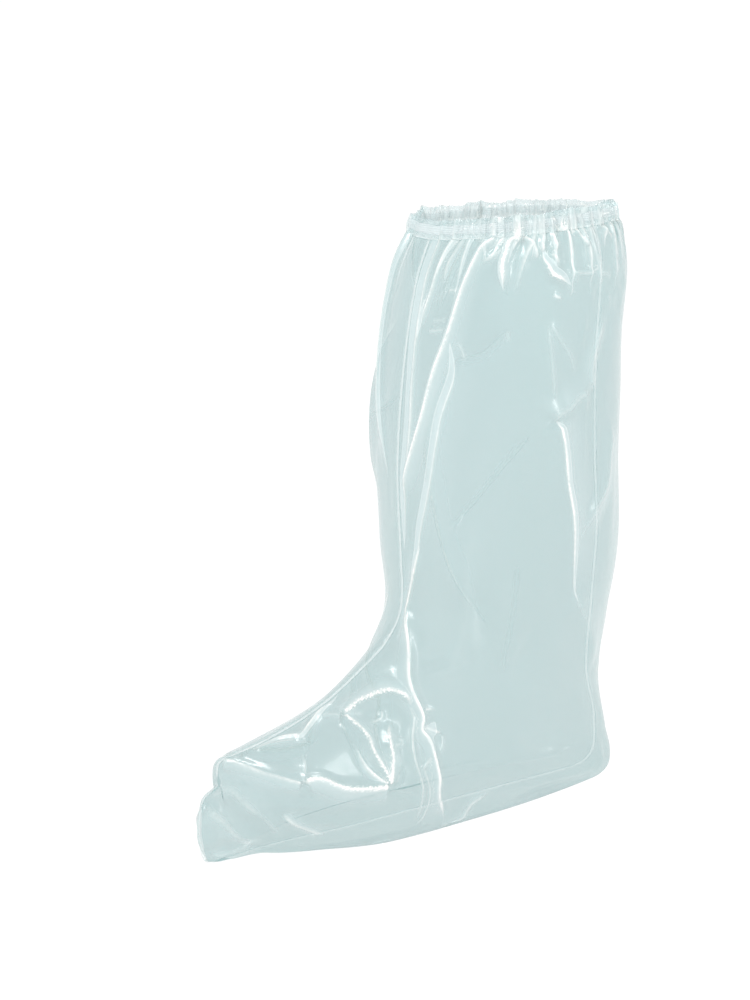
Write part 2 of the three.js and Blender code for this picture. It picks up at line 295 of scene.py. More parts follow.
# %% Places beside a fold
def nearest_on(path, points):
    """For each point: the distance to the path, the gap, the path's direction and share there."""
    start, piece = path[:-1], np.diff(path, axis=0)
    length = np.maximum(np.linalg.norm(piece, axis=1), 1e-9)
    offset = points[:, None, :] - start[None]
    share = np.clip(np.einsum("nkc,kc->nk", offset, piece) / length ** 2, 0, 1)
    gap = offset - share[..., None] * piece
    distance = np.linalg.norm(gap, axis=2)
    best = distance.argmin(axis=1)
    pick = np.arange(len(points))
    reached = np.concatenate([[0], np.cumsum(length)])
    along = (reached[best] + share[pick, best] * length[best]) / reached[-1]
    return distance[pick, best], gap[pick, best], (piece / length[:, None])[best], along


def fading(fold, along):
    """1 along the fold, falling to 0 at its ends. A fold that starts in the hem starts full."""
    start, end = fold.fade
    rising = 1 if fold.stops[0][0] == 0 else smooth(along / start)
    return rising * smooth((1 - along) / end)


down_the_side = path_of(Fold([(0, 0.5), (3, 0.5)], 5, 5, 5, 1), 1)
print("from the origin to a line down the outer side in mm:",
      (nearest_on(down_the_side, np.zeros((1, 3)))[0] / MM).round(1))

# %% Fold field
SHARPNESS = 1.5  # over 1, so that the sides of a fold are hollow
CREASE_HALF_MM = 0.7  # half the width of a sharp white line
SOFT_SIDE = 1.7  # how much wider the line is on the gentle side
HALO_MM = 4.5  # how far the strength of a crease reaches
FAR_MM = 3  # distances from the edge of a doubled strip are cut off here
NARROW_AT_HEM = 0.45  # the share of its width that a fold has in the hem


def fold_field(points, normals, folds, side):
    """What the folds do at each point: their height, the strength of the nearest crease, how far
    that crease is, how deep the point lies inside a doubled strip and how much painted sheen it gets."""
    ridge, dent, crease, painted_sheen = np.zeros((4, len(points)))
    crease_at, inside = np.full((2, len(points)), -float(FAR_MM))
    for fold in folds:
        path = path_of(fold, side)
        reach = max(fold.left, fold.right, abs(fold.lap) + FAR_MM, 2 * HALO_MM) * MM
        near = (points > path.min(0) - reach) & (points < path.max(0) + reach)
        close = np.flatnonzero(near.all(axis=1))
        if not len(close):
            continue
        distance, gap, way, along = nearest_on(path, points[close])
        away = distance / MM
        to_left = np.einsum("nc,nc->n", gap, np.cross(normals[close], way)) > 0
        full = fading(fold, along)
        width = np.where(to_left, fold.left, fold.right)
        gentle = to_left == (fold.left >= fold.right)
        half = (CREASE_HALF_MM + fold.tip / 2) * np.where(gentle, SOFT_SIDE, 1)
        if fold.stops[0][0] == 0:
            width = width * (NARROW_AT_HEM + (1 - NARROW_AT_HEM) * smooth(along * 2))
        rounded = np.hypot(away, fold.tip) - fold.tip
        closeness = np.clip(1 - rounded / width, 0, 1)
        # the gentle side of the fold gets a painted sheen, milkier and paler
        painted_sheen[close] = np.maximum(painted_sheen[close], gentle * closeness * full * fold.white)
        height = fold.rise * MM * closeness ** SHARPNESS * full
        ridge[close] = np.maximum(ridge[close], height)
        dent[close] = np.minimum(dent[close], height)
        halo = fold.white * full * np.exp(-(away / HALO_MM) ** 2)
        stronger = halo > crease[close]
        crease[close[stronger]] = halo[stronger]
        crease_at[close[stronger]] = (np.where(to_left, -away, away) / half)[stronger]
        if fold.lap:
            across = np.where(to_left == (fold.lap < 0), away, -away)
            depth = np.minimum(across, abs(fold.lap) * np.sqrt(full) - across)
            inside[close] = np.clip(depth, inside[close], FAR_MM)
    return ridge + dent, crease, crease_at, inside, painted_sheen


here = form_points(1.5, 0.5, 1)[None], form_normals(1.5, 0.5, 1)[None]
one_fold = fold_field(*here, [Fold([(0, 0.5), (3, 0.5)], 5, 5, 5, 1)], 1)
print("height on the crest of a fold of 5 mm, in mm:", (one_fold[0] / MM).round(2))

# %% [markdown]
# ### The main folds
#
# These are the folds that everyone would see: the lapped pleat beside the front weld, the
# diagonal that falls into it from the cuff, the long crease that runs across the ankle to the
# sole, the fans under the cuff, the ridge behind the calf, and the sharp facets over the toe,
# where the film is pulled round the boot's toe cap. No formula gives them, so each one is a
# short row of stops, given one by one.

# %% Folds down the front of the leg
FRONT_FOLDS = [
    # pleats beside the front weld
    Fold([(0, 0.045), (0.8, 0.035), (1.5, 0.035), (2.1, 0.05), (2.6, 0.055), (3.4, 0.035),
          (4, 0.015)], 3, 7, 4, 0.5, lap=9),
    Fold([(0, 0.105), (0.6, 0.075), (1, 0.065), (1.3, 0.05), (1.6, 0.04)], 3, 9, 4, 0.55, lap=3.5),
    Fold([(0, 0.14), (0.35, 0.12), (0.6, 0.105), (0.95, 0.1)], 2.5, 7, 4, 0.45),
    Fold([(0.75, 0.135), (1, 0.11), (1.15, 0.08), (1.25, 0.05)], 1.5, 8, 8, 0.12, tip=2),
    # the long diagonal and the broad soft fold that starts under it
    Fold([(0, 0.235), (0.25, 0.205), (0.5, 0.19), (1, 0.165), (1.5, 0.145), (1.9, 0.12),
          (2.35, 0.1), (2.7, 0.075), (3.1, 0.045), (3.5, 0.03)], 6, 17, 6, 0.78, lap=2.6,
         fade=(0.1, 0.15)),
    Fold([(1.6, 0.155), (1.95, 0.18), (2.4, 0.155), (3.15, 0.125), (3.8, 0.085),
          (4.4, 0.05)], 5, 20, 11, 0.28, lap=6, tip=1),
    Fold([(1.6, 0.17), (1.65, 0.185), (1.8, 0.205)], 1.5, 5, 5, 0.3),
]
print("folds down the front:", len(FRONT_FOLDS))

# %% The long crease over the ankle
ANKLE_FOLDS = [
    # the crease, and the small facet that it folds over
    Fold([(3.7, 0.09), (4.2, 0.07), (4.9, 0.035), (5.2, 0.045), (6.1, 0.13), (7.4, 0.215),
          (8.1, 0.245), (8.4, 0.28), (8.8, 0.325), (9.3, 0.39), (9.85, 0.49),
          (10.25, 0.685)], 5, 7, 13, 0.75, lap=1.3, fade=(0.15, 0.12)),
    Fold([(8.05, 0.245), (8.4, 0.275), (8.6, 0.3), (8.8, 0.325)], 2, 12, 5, 0.6, lap=-12,
         fade=(0.02, 1)),
    Fold([(8.05, 0.245), (8.1, 0.285)], 1.5, 4, 4, 0.5, fade=(0.1, 0.2)),
    Fold([(8.1, 0.285), (8.55, 0.32), (8.9, 0.345)], 1.5, 5, 5, 0.3, fade=(0.1, 0.6)),
    Fold([(8.8, 0.325), (9.1, 0.34), (9.4, 0.37), (10.1, 0.51), (10.6, 0.66)],
         2.5, 6, 6, 0.4, fade=(0.05, 0.2)),
    Fold([(7.55, 0.23), (7.5, 0.245), (7.45, 0.26)], 1, 4, 3, 0.6, fade=(0.1, 0.8)),
    # a broad soft fold behind it
    Fold([(3.4, 0.245), (4.5, 0.23), (5.9, 0.26), (7.2, 0.285)], 3.5, 14, 14, 0.08, tip=3),
]
print("folds over the ankle:", len(ANKLE_FOLDS))

# %% Fans under the cuff
CUFF_FANS = [
    Fold([(0, 0.31), (0.1, 0.285), (0.4, 0.275), (0.65, 0.27), (1, 0.285)], 5.5, 9, 6, 0.95,
         lap=2.5),
    Fold([(0, 0.3), (0.3, 0.265), (0.45, 0.235), (0.6, 0.205)], 3.5, 6, 6, 0.6),
    Fold([(0, 0.32), (0.15, 0.345), (0.35, 0.36), (0.6, 0.37)], 4, 5, 7, 0.7),
    Fold([(0, 0.385), (0.3, 0.38), (0.45, 0.385)], 4.5, 5, 8, 0.75),
    Fold([(0.3, 0.38), (0.55, 0.385), (0.65, 0.395), (0.8, 0.41), (0.9, 0.445),
          (1, 0.475)], 5.5, 9, 5, 1, lap=-7, fade=(0.5, 0.4)),
    Fold([(0.45, 0.4), (0.55, 0.42), (0.7, 0.435)], 2, 4, 4, 0.55),
    Fold([(0.4, 0.4), (0.2, 0.445)], 2, 4, 4, 0.4),
    Fold([(0, 0.435), (0.3, 0.45), (0.8, 0.46)], -3.5, 10, 10, 0),
    Fold([(0, 0.49), (0.3, 0.515), (0.45, 0.535)], 3, 5, 5, 0.7),
    Fold([(0, 0.545), (0.5, 0.555), (1.1, 0.59)], 4, 8, 9, 0.4),
    Fold([(0, 0.595), (0.2, 0.625), (0.4, 0.655)], 3, 5, 5, 0.6),
    # short creases across them
    Fold([(0.8, 0.465), (0.85, 0.54), (0.75, 0.575), (0.7, 0.61)], 2, 6, 6, 0.35),
    Fold([(0.85, 0.56), (0.9, 0.6), (0.95, 0.64)], 1.6, 5, 5, 0.35),
    Fold([(1.1, 0.42), (1.15, 0.45)], 1.5, 4, 4, 0.6),
    Fold([(1, 0.12), (1, 0.16)], 0.6, 3, 3, 0.4),
    Fold([(1.5, 0.07), (1.45, 0.15)], 0.8, 3, 4, 0.35),
    Fold([(1.4, 0.08), (1.35, 0.14)], 0.8, 3, 3, 0.3),
]
print("folds in the fans:", len(CUFF_FANS))

# %% Folds behind the calf
CALF_FOLDS = [
    # the kinked ridge, and the wedge above it
    Fold([(2.45, 0.46), (2.7, 0.475), (3.1, 0.485), (3.45, 0.5), (3.9, 0.51), (4.4, 0.53),
          (4.8, 0.56)], 7, 28, 13, 0.75, lap=-4.5, tip=1, fade=(0.04, 0.5)),
    Fold([(2.2, 0.59), (2.25, 0.535), (2.35, 0.5), (2.4, 0.47), (2.45, 0.46)], 4, 14, 20, 0.3,
         tip=2, fade=(0.3, 0.05)),
    Fold([(1.4, 0.63), (1.6, 0.61), (1.95, 0.585), (2.2, 0.59)], 3.5, 9, 12, 0.45,
         fade=(0.3, 0.1)),
    Fold([(1.4, 0.415), (1.85, 0.44), (2.35, 0.46)], 2, 10, 7, 0.22, tip=1),
    Fold([(1.4, 0.415), (1.8, 0.495), (2.05, 0.52)], 2, 8, 8, 0.2, tip=1),
    # folds that run down from it to the back weld and to the heel
    Fold([(2.5, 0.685), (2.8, 0.66), (3.2, 0.64), (3.45, 0.585), (3.75, 0.535), (3.85, 0.51)],
         5, 22, 11, 0.35, tip=1),
    Fold([(4.45, 0.535), (4.9, 0.58), (5.4, 0.68), (5.9, 0.77)], 4, 22, 16, 0.16, tip=2),
]
LEG_FOLDS = FRONT_FOLDS + ANKLE_FOLDS + CUFF_FANS + CALF_FOLDS
print("folds behind the calf:", len(CALF_FOLDS), "and on the whole leg:", len(LEG_FOLDS))

# %% Folds of the foot
SHARP_ENDS = (0.05, 0.06)
FOOT_FOLDS = [
    # from the instep down to the tip of the toe
    Fold([(7.9, 0.01), (8.3, 0.025), (9.35, 0.065), (9.85, 0.085), (9.95, 0.07),
          (10.6, 0.02), (11.2, 0.01)], 4, 8, 8, 0.6, lap=-2.5),
    Fold([(11.4, 0.035), (10.65, 0.05), (10.1, 0.085), (9.75, 0.08)], 3, 7, 7, 0.45),
    Fold([(13, 0.025), (12.05, 0.16), (11.6, 0.21), (11.2, 0.26)], 5, 10, 15, 0.6,
         fade=SHARP_ENDS),
    # the square facet over the toe cap
    Fold([(11.2, 0.26), (11, 0.25), (10.85, 0.255), (10.75, 0.27), (10.7, 0.3),
          (10.6, 0.325), (10.5, 0.335), (10.25, 0.355), (10.05, 0.365)], 6, 8, 15, 1, tip=1,
         fade=SHARP_ENDS),
    Fold([(10.05, 0.365), (10, 0.355), (9.6, 0.31), (9.2, 0.27), (8.95, 0.245), (8.55, 0.21),
          (8.1, 0.185)], 5, 8, 11, 1, tip=0.6, fade=(0.05, 0.3)),
    Fold([(11.2, 0.26), (10.55, 0.175), (10.25, 0.13)], 3, 9, 9, 0.4, fade=(0.05, 0.5)),
    Fold([(10.05, 0.365), (9.65, 0.29), (9.35, 0.24), (9, 0.2), (8.75, 0.155), (8.6, 0.12),
          (8.55, 0.1)], 5, 9, 11, 0.95, tip=0.6, fade=SHARP_ENDS),
    Fold([(10.05, 0.36), (10, 0.325), (9.9, 0.29), (9.7, 0.25), (9.15, 0.17)], 3, 6, 6, 0.8,
         tip=1, fade=(0.05, 0.7)),
    # the arch over the boot's toe and the edges that run from it
    Fold([(8.55, 0.105), (8.2, 0.1), (7.9, 0.1), (7.55, 0.12), (7.35, 0.14), (7.3, 0.16),
          (7.3, 0.18), (7.4, 0.195), (7.6, 0.205)], 5.5, 13, 9, 1, tip=0.6, fade=(0.06, 0.15)),
    Fold([(7.4, 0.195), (7.55, 0.2), (8.3, 0.24), (8.8, 0.28), (9.3, 0.335), (9.75, 0.41),
          (10.2, 0.505), (10.6, 0.66)], 4, 8, 8, 0.5),
    Fold([(8.55, 0.1), (8.65, 0.075), (8.9, 0.06), (9.3, 0.06)], 2, 6, 6, 0.3, fade=(0.05, 0.4)),
    Fold([(10.4, 0.8), (10.05, 0.69), (9.65, 0.58), (9.2, 0.55)], 3, 9, 9, 0.5),
    Fold([(12.3, 0.4), (12.05, 0.495), (11.7, 0.595)], 2, 6, 6, 0.6, tip=1.5),
    Fold([(8.9, 0.19), (9.5, 0.235), (9.7, 0.3)], 1, 5, 5, 0.2),
    Fold([(7.9, 0.15), (8.2, 0.17), (8.5, 0.165)], 1.4, 4, 4, 0.4),
    Fold([(8.6, 0.235), (8.75, 0.255), (9, 0.25)], 1.2, 4, 4, 0.35),
    # the loose corner of film in front of the boot
    Fold([(16.2, 0.1), (15.75, 0.335), (14.95, 0.48), (14.1, 0.595), (13.4, 0.64),
          (12.9, 0.6)], 4.5, 12, 15, 0.3, tip=5),
    Fold([(16.1, 0.06), (15.5, 0.13), (13.6, 0.28), (13.2, 0.355), (12.95, 0.405),
          (12.5, 0.445)], 3.5, 14, 12, 0.25, tip=5),
    Fold([(16.7, 0.66), (16.1, 0.77), (14.75, 0.77), (13.7, 0.715), (12.9, 0.64)],
         2, 8, 8, 0.25, tip=1.5),
    Fold([(13.2, 0.3), (12.7, 0.45), (12.5, 0.6)], 2.5, 9, 9, 0.2, tip=1.5),
]
print("folds on the foot:", len(FOOT_FOLDS))

# %% Folds of the inner side
INNER_FOLDS = [
    Fold([(0, 0.17), (0.6, 0.155), (1.4, 0.14), (2.4, 0.09), (3.2, 0.05)], 5, 7, 15, 0.5, lap=-3),
    Fold([(1.5, 0.32), (2.2, 0.22), (2.6, 0.2), (3.1, 0.24), (3.8, 0.27)], 6, 20, 24, 0.3, tip=1),
    Fold([(2.65, 0.195), (2.6, 0.215), (2.6, 0.33), (2.5, 0.39)], 5, 11, 16, 0.7),
    Fold([(0, 0.34), (0.4, 0.35), (0.8, 0.36), (1.3, 0.4)], 5.5, 10, 7, 0.9, lap=3),
    Fold([(0, 0.45), (0.3, 0.43), (0.7, 0.42)], 3.5, 6, 6, 0.6),
    Fold([(0, 0.58), (0.6, 0.56), (1.1, 0.52), (1.5, 0.5)], 5.5, 10, 7, 0.85, lap=3),
    Fold([(0, 0.7), (0.5, 0.72), (1.1, 0.71)], 4, 7, 7, 0.6),
    Fold([(2.2, 0.56), (2.8, 0.52), (3.4, 0.5), (4.9, 0.55), (5.8, 0.66)], 7, 16, 26, 0.8),
    Fold([(2.2, 0.56), (2.1, 0.66), (1.8, 0.72)], 5, 16, 10, 0.5),
    Fold([(3, 0.8), (3.6, 0.68), (4, 0.6), (4.3, 0.53)], 4.5, 16, 10, 0.5),
    Fold([(4.6, 0.08), (5.6, 0.13), (6.6, 0.2), (8.4, 0.34), (9.5, 0.5), (10.1, 0.72)],
         6, 9, 15, 0.9, lap=2),
    Fold([(12.7, 0.03), (11.9, 0.17), (11.2, 0.28)], 5, 13, 10, 1, fade=SHARP_ENDS),
    Fold([(11.2, 0.28), (10.9, 0.27), (10.5, 0.34), (10, 0.37)], 5.5, 12, 8, 0.95, tip=0.8,
         fade=SHARP_ENDS),
    Fold([(10, 0.37), (9.5, 0.29), (8.9, 0.235), (8.3, 0.2)], 5, 10, 8, 0.9, fade=(0.05, 0.4)),
    Fold([(10, 0.36), (9.3, 0.24), (8.6, 0.13)], 4.5, 10, 9, 0.75, fade=(0.05, 0.3)),
    Fold([(8.6, 0.12), (8, 0.1), (7.5, 0.13), (7.4, 0.18), (7.8, 0.21), (9, 0.32), (10.4, 0.62)],
         4.5, 9, 10, 0.8),
    Fold([(10.4, 0.76), (10, 0.66), (9.5, 0.56)], 3.5, 9, 9, 0.6),
    Fold([(8, 0.02), (9, 0.06), (10.2, 0.05), (11.3, 0.02)], 3.5, 8, 8, 0.6),
    Fold([(16.2, 0.1), (15.5, 0.36), (14.5, 0.56), (13, 0.62)], -3.5, 12, 10, 0.3, tip=0.8),
    Fold([(4.6, 0.74), (5.6, 0.72), (6.8, 0.66)], 4, 14, 14, 0.25, tip=1.5),
]
print("folds on the inner side:", len(INNER_FOLDS))

# %% [markdown]
# ### Gathers and small creases
#
# An elastic takes up the spare width of the film in many small pleats. Most die out a few
# millimetres below the hem and some run down the leg, wider and flatter as they go. Nobody would
# miss a single one, so they come from a seeded draw: they look unplanned but stay the same in
# every run. The same draw scatters short creases where film is worked most: below the cuff, at
# the bend of the ankle and over the toe.

# %% Gathers
# lengths in stations, drifts in shares of the way round, the rest in millimetres
Gather = namedtuple("Gather", "length drift rise width laps")
LONG_GATHER = Gather((0.45, 1.3), 0.014, (2, 4), (3.5, 8), (-2, 0, 2))
SHORT_GATHER = Gather((0.08, 0.3), 0.007, (0.8, 2), (2, 3.5), ())
LONG_GATHER_EVERY = 3
GATHERS_PER_PANEL = 54
GATHERS_FROM, GATHERS_WIDE = 0.06, 0.91  # shares of the way round
GATHER_SHIFT = 0.4  # the largest shift of a gather from its even place
GATHER_WHITE = (0.35, 0.8)


def calmer_at_front(around, least, start, width):
    """least next to the front weld, where the film lies smooth, and 1 further round."""
    return least + (1 - least) * smooth((around - start) / width)


def gathers(rng):
    """Pleats that hang from the hem, wider and flatter the further they reach."""
    made = []
    for index in range(GATHERS_PER_PANEL):
        shift = rng.uniform(-GATHER_SHIFT, GATHER_SHIFT)
        around = GATHERS_FROM + GATHERS_WIDE * (index + shift) / GATHERS_PER_PANEL
        calm = calmer_at_front(around, least=0.3, start=0.05, width=0.25)
        kind = SHORT_GATHER if index % LONG_GATHER_EVERY else LONG_GATHER
        length = rng.uniform(*kind.length)
        drift = rng.normal(0, kind.drift)
        rise = rng.uniform(*kind.rise) * calm
        left, right = rng.uniform(*kind.width, 2)
        lap = rng.choice(kind.laps) if kind.laps else 0
        stops = [(0, around), (length / 2, around + drift), (length, around + 1.6 * drift)]
        white = rng.uniform(*GATHER_WHITE) * calm
        made.append(Fold(stops, rise, left, right, white, lap=lap, fade=(0, 0.9)))
    return made


long_gathers = len(range(0, GATHERS_PER_PANEL, LONG_GATHER_EVERY))
print("gathers in a panel:", GATHERS_PER_PANEL, "of which", long_gathers, "are long")

# %% Small creases
# lengths in stations, slants in shares of the way round, rises and widths in millimetres
CreaseZone = namedtuple("CreaseZone", "stations around count length slant rise width")
CREASE_ZONES = [
    CreaseZone((0.15, 1.5), (0.2, 0.95), 14, (0.12, 0.4), 0.035, (0.6, 1.6), (3, 8)),
    CreaseZone((1.5, 5.5), (0.1, 0.95), 6, (1.2, 2.5), 0.03, (0.8, 1.6), (9, 16)),
    CreaseZone((5.5, 8.5), (0.2, 0.75), 6, (0.4, 1.2), 0.06, (0.5, 1.2), (7, 12)),
    CreaseZone((8.5, 12.5), (0.1, 0.75), 9, (0.3, 1.0), 0.1, (0.5, 1.3), (5, 9)),
]
RIDGE_OR_HOLLOW = (1, 1, -1)
FAINT_WHITE = (0.03, 0.9)  # divided by the width, so that a narrow crease is the whiter one
FAINT_TIP_MM = (0.5, 1.5)
FOLD_SEED = {1: 11, -1: 23}  # by side: 1 is the outer one and -1 the inner one


def small_creases(rng):
    """Short faint creases, most of them ridges and some of them hollows."""
    made = []
    for zone in CREASE_ZONES:
        for _ in range(zone.count):
            station, around = rng.uniform(*zone.stations), rng.uniform(*zone.around)
            length = rng.uniform(*zone.length)
            bend = rng.normal(0, zone.slant, 2)
            stops = [
                (station, around),
                (station + length / 2, around + bend[0] / 2),
                (station + length, around + bend[0] + bend[1] / 2),
            ]
            left, right = rng.uniform(*zone.width, 2)
            rise = rng.uniform(*zone.rise) * rng.choice(RIDGE_OR_HOLLOW)
            white, tip = rng.uniform(*FAINT_WHITE) / left, rng.uniform(*FAINT_TIP_MM)
            made.append(Fold(stops, rise, left, right, white, tip=tip, fade=(0.4, 0.5)))
    return made


def all_folds(side):
    """The main folds, the gathers and the small creases, which lie on top of each other."""
    rng = np.random.default_rng(FOLD_SEED[side])
    main = LEG_FOLDS + FOOT_FOLDS if side > 0 else INNER_FOLDS
    return main, gathers(rng), small_creases(rng)


print("small creases in a panel:", sum(zone.count for zone in CREASE_ZONES))

# %% [markdown]
# ### Slack
#
# Between its creases the film isn't smooth either. Broad waves run down the leg, and flat
# facets meet in soft edges. Bump in the material would leave the outline smooth, so the points
# are moved. Both forms come from a coarse grid of random heights with a smooth blend between
# them: as it is for the waves, and without its sign for the facets, which meet where the heights
# change sign. Right under the hem, where the elastic lets go, the film puffs out.

# %% Slack noise
LATTICE = 64  # the noise repeats after this many grid points


def value_noise(u, v, seed):
    """Smooth random heights from -1 to 1 over a grid of whole numbers."""
    lattice = np.random.default_rng(seed).uniform(-1, 1, (LATTICE, LATTICE))
    iu, iv = np.floor(u).astype(int), np.floor(v).astype(int)
    fu, fv = smooth(u - iu), smooth(v - iv)
    corner = [
        [lattice[(iu + a) % LATTICE, (iv + b) % LATTICE] for b in (0, 1)] for a in (0, 1)
    ]
    low = corner[0][0] + (corner[0][1] - corner[0][0]) * fv
    high = corner[1][0] + (corner[1][1] - corner[1][0]) * fv
    return low + (high - low) * fu


print("noise at three places:", value_noise(np.array([0, 0.5, 1]), np.zeros(3), 3).round(2))

# %% Slack
FREE_EDGE = 0.045  # a weld holds the film over this share of the way round
TIGHT_INSTEP = 0.45  # and over this much more where the inner film is tight
TIGHT_FROM, TIGHT_OVER = 3.5, 1.5  # that starts at this station and is full so much further
SOLE_EDGE = 0.1  # the share of the way round over which folds die out towards the sole
WAVE_MM, WAVES_AROUND, WAVES_DOWN = 2, 7, 0.9
FACET_MM, FACETS_AROUND, FACETS_DOWN = 2.6, 9, 0.6
FACET_SLANT = 0.35
FACET_ROUND = 0.42  # softens the edges where facets meet
LIFT_MM = 1.4  # brings the mean of the slack back to the form
PUFF_MM = 3
PUFF_END = 1.6
PUFF_LEAN = 0.6  # under 1, so that the puff is fullest near the hem
PUFF_FRONT = 0.5  # the share of the way round by which the puff is full
SLACK_SEED = {1: 3, -1: 5}


def freedom(station, around, side):
    """Where folds may move the film: less and less next to a weld, and not under the foot. The
    inner film is drawn tight over the instep."""
    tight = smooth((station - TIGHT_FROM) / TIGHT_OVER)
    front_edge = FREE_EDGE + (side < 0) * TIGHT_INSTEP * tight
    near_weld = smooth(around / front_edge) * smooth((1 - around) / FREE_EDGE)
    on_sole = smooth(np.maximum(sections_at(station)["sole"], 0) / SOLE_BLEND_MM)
    return near_weld * (1 - on_sole * smooth((around - CORNER + SOLE_EDGE) / SOLE_EDGE))


def slack(station, around, side):
    """How far the film stands off the form between its folds, in metres."""
    seed = SLACK_SEED[side]
    waves = value_noise(around * WAVES_AROUND, station * WAVES_DOWN, seed)
    slanted = around * FACETS_AROUND + station * FACET_SLANT
    facets = np.hypot(value_noise(slanted, station * FACETS_DOWN, seed + 1), FACET_ROUND)
    puffed = np.sin(np.pi * np.clip(station / PUFF_END, 0, 1) ** PUFF_LEAN)
    puffed = puffed * smooth(around / PUFF_FRONT)
    return (WAVE_MM * waves - FACET_MM * facets + LIFT_MM + PUFF_MM * puffed) * MM


calf = slack(np.full(50, 3.0), np.linspace(0.1, 0.9, 50), 1)
print("slack at the calf in mm:", round(calf.min() / MM, 1), "to", round(calf.max() / MM, 1))

# %% [markdown]
# ## The film panels
#
# The film is thinner than a tenth of a millimetre, so a single surface without thickness stands
# for it. Form, slack and folds are summed on the grid, and the grid becomes a mesh. Five numbers
# are stored on each point for the material: how strong the nearest crease is, how far off it is,
# how deep the point lies inside a doubled strip, how much painted sheen the film gets on the
# gentle side of a fold and how finely it is crinkled.

# %% Film on the form
CRINKLED_END = 0.7  # the station where the crinkles below the elastic have died out


def film(station, around, side):
    """Points of the folded film, and the numbers that its finish needs."""
    shape = np.broadcast(station, around).shape
    station, around = (np.broadcast_to(v, shape).reshape(-1) for v in (station, around))
    points = form_points(station, around, side)
    normals = form_normals(station, around, side)
    free = freedom(station, around, side)
    out = slack(station, around, side)
    crease, painted_sheen = np.zeros((2, len(points)))
    crease_at, inside = np.full((2, len(points)), -float(FAR_MM))
    for folds in all_folds(side):
        rise, strength, at, depth, milky = fold_field(points, normals, folds, side)
        out = out + rise
        crease_at = np.where(strength > crease, at, crease_at)
        crease = np.maximum(crease, strength)
        inside = np.maximum(inside, depth)
        painted_sheen = np.maximum(painted_sheen, milky)
    points = points + normals * (out * free)[:, None]
    # the film stays on its own side of the weld and above the floor
    points[:, 0] = side * np.maximum(side * points[:, 0], WELD_HALF_MM * MM)
    points[:, 2] = np.maximum(points[:, 2], -HEIGHT)
    gathered = np.clip(1 - station / CRINKLED_END, 0, 1)
    gathered = gathered * calmer_at_front(around, least=0.4, start=0, width=0.3)
    values = {
        "crease": crease, "crease_at": crease_at, "inside": inside, "painted_sheen": painted_sheen,
        "worked": np.maximum(crease, gathered ** 2),
    }
    return points.reshape(*shape, 3), values


ankle = film(np.full(3, 5.0), np.array([0.2, 0.5, 0.8]), 1)[0]
print("film round the ankle:", ankle.round(3).tolist())

# %% Panels
def grid_mesh(name, points, closed_u=False, closed_v=False, flip=False, values=None):
    """A mesh of four-sided faces over a grid of points, with numbers stored on its points.
    closed_u joins its last row to the first, closed_v its last column to the first, and flip
    turns its faces round."""
    rows, cols = points.shape[:2]
    row = np.arange(rows if closed_u else rows - 1)
    col = np.arange(cols if closed_v else cols - 1)
    i, j = (v.reshape(-1) for v in np.meshgrid(row, col, indexing="ij"))
    below, right = (i + 1) % rows, (j + 1) % cols
    quads = np.stack([i * cols + j, below * cols + j, below * cols + right, i * cols + right])
    if flip:
        quads = quads[::-1]
    mesh = bpy.data.meshes.new(name)
    mesh.from_pydata(points.reshape(-1, 3).tolist(), [], quads.T.tolist())
    for label, numbers in (values or {}).items():
        layer = mesh.attributes.new(label, "FLOAT", "POINT")
        layer.data.foreach_set("value", numbers.reshape(-1).astype(np.float32))
    mesh.shade_smooth()
    piece = bpy.data.objects.new(name, mesh)
    bpy.context.scene.collection.objects.link(piece)
    print(name, "has", len(mesh.polygons), "faces")
    return piece


def make_panel(name, side):
    """The film of one side as a mesh, with its outer face turned outwards."""
    points, values = film(stations[:, None], columns[None, :], side)
    return grid_mesh(name, points, flip=side < 0, values=values)


outer_film = make_panel("outer_film", 1)
inner_film = make_panel("inner_film", -1)

# %% [markdown]
# ## The edge weld
#
# A hot wire melts the two films together and cuts them in one stroke. What is left is a narrow
# bead with a thin frilled fin. A curve with a bevel would give it the same section everywhere.
# Here the section is swept along the cover's outline in code, so that the fin can wave, grow and
# shrink, and be pressed flat under the foot.

# %% Edge weld
TOE_STEPS = 24
FIN_MM = 1.6
FIN_UNEVEN, FIN_WAVE_MM = 0.35, 9
FRILL_MM, FRILL_WAVE_MM = 0.6, 5
FRILL_SEED, FIN_SEED = 31, 32
PRESSED_BELOW_MM = 6  # the fin gets lower where the weld is nearer to the floor than this
WELD_SECTION_MM = [
    # across, and out of the film
    (-1.5, -0.7), (-1.35, 0.1), (-0.5, 0.5), (-0.2, FIN_MM),
    (0.2, FIN_MM), (0.5, 0.5), (1.35, 0.1), (1.5, -0.7),
]


def outline(stations_down):
    """The weld's line in the middle plane, from the front of the cuff round to its back."""
    front = form_points(stations_down, 0.0, 1)
    toe = form_points(float(LAST), np.linspace(0, 1, TOE_STEPS)[1:-1], 1)
    back = form_points(stations_down[::-1], 1.0, 1)
    line = np.concatenate([front, toe, back])
    line[:, 0] = 0
    return line


def make_weld():
    """The bead and its fin as one mesh: the section is repeated at each place along the line."""
    line = outline(stations)
    along = unit(np.gradient(line, axis=0))
    out = np.stack([np.zeros(len(line)), along[:, 2], -along[:, 1]], axis=1)
    travelled = np.concatenate([[0], np.cumsum(np.linalg.norm(np.diff(line, axis=0), axis=1))])
    above_floor = smooth((line[:, 2] + HEIGHT) / (PRESSED_BELOW_MM * MM))
    frill = value_noise(travelled / (FRILL_WAVE_MM * MM), travelled * 0, FRILL_SEED)
    tall = 1 + FIN_UNEVEN * value_noise(travelled / (FIN_WAVE_MM * MM), travelled * 0, FIN_SEED)
    rings = []
    for across, reach in WELD_SECTION_MM:
        sideways = across + FRILL_MM * frill * max(reach, 0) / FIN_MM
        proud = np.where(reach > 0, reach * tall * above_floor, reach)
        ring = line + out * (proud * MM)[:, None]
        ring[:, 0] = sideways * MM
        rings.append(ring)
    return grid_mesh("edge_bead", np.stack(rings, axis=1), closed_v=True)


edge_bead = make_weld()

